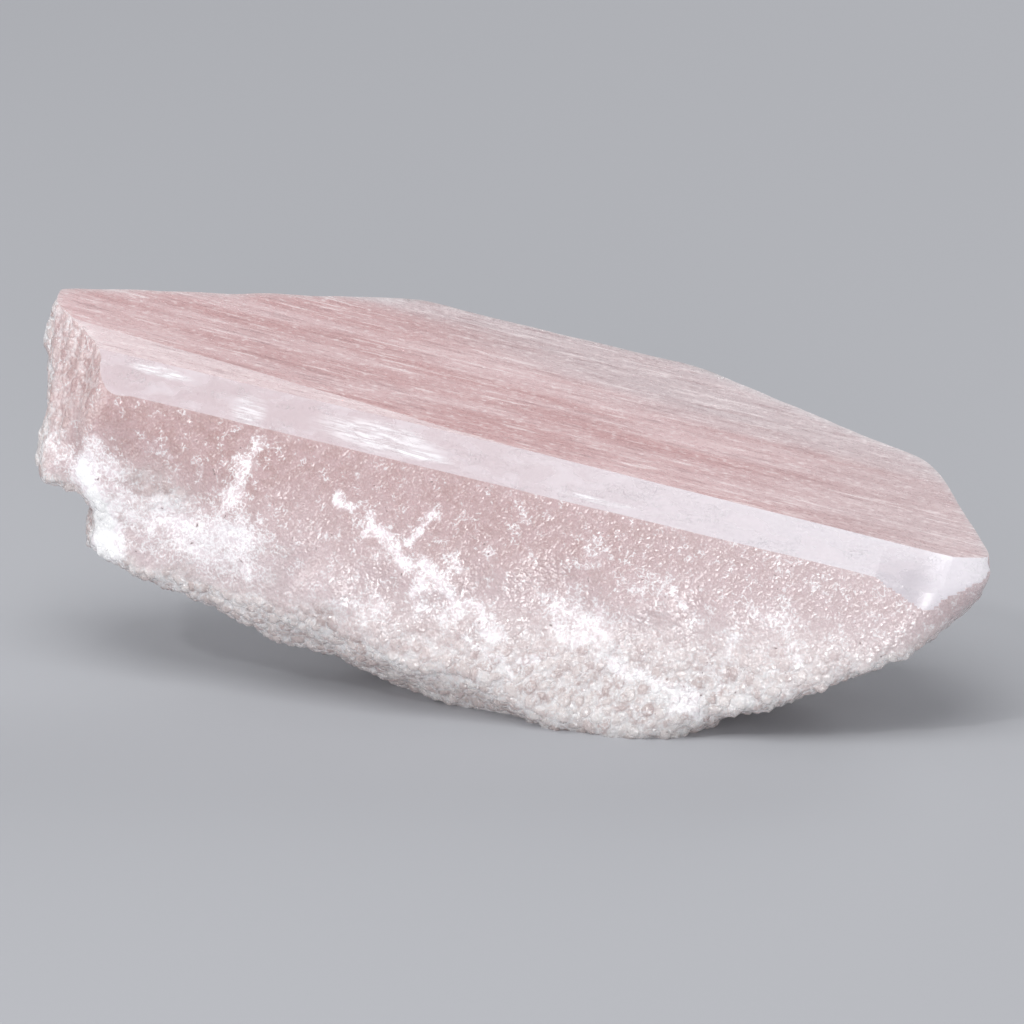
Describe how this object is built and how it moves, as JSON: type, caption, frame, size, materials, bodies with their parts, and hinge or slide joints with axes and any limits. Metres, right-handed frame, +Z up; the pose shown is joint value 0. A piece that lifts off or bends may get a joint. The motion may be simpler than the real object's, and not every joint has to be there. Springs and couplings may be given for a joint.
{
  "type": "rough morganite crystal",
  "caption": "Rough pink beryl crystal fragment with flat striated prism faces above and a lumpy broken belly that it rests on.",
  "frame": {"origin": "middle of the footprint's bounding box, on the surface that the crystal rests on", "axes": "+X along the crystal towards its thin end, +Y away from the bevelled side, +Z up"},
  "size_m": [0.1034, 0.038, 0.0388],
  "materials": {
    "crystal": "translucent, glassy on the prism faces and granular where broken"
  },
  "bodies": {
    "root": {"morganite_crystal": "crystal"}
  },
  "joints": []
}
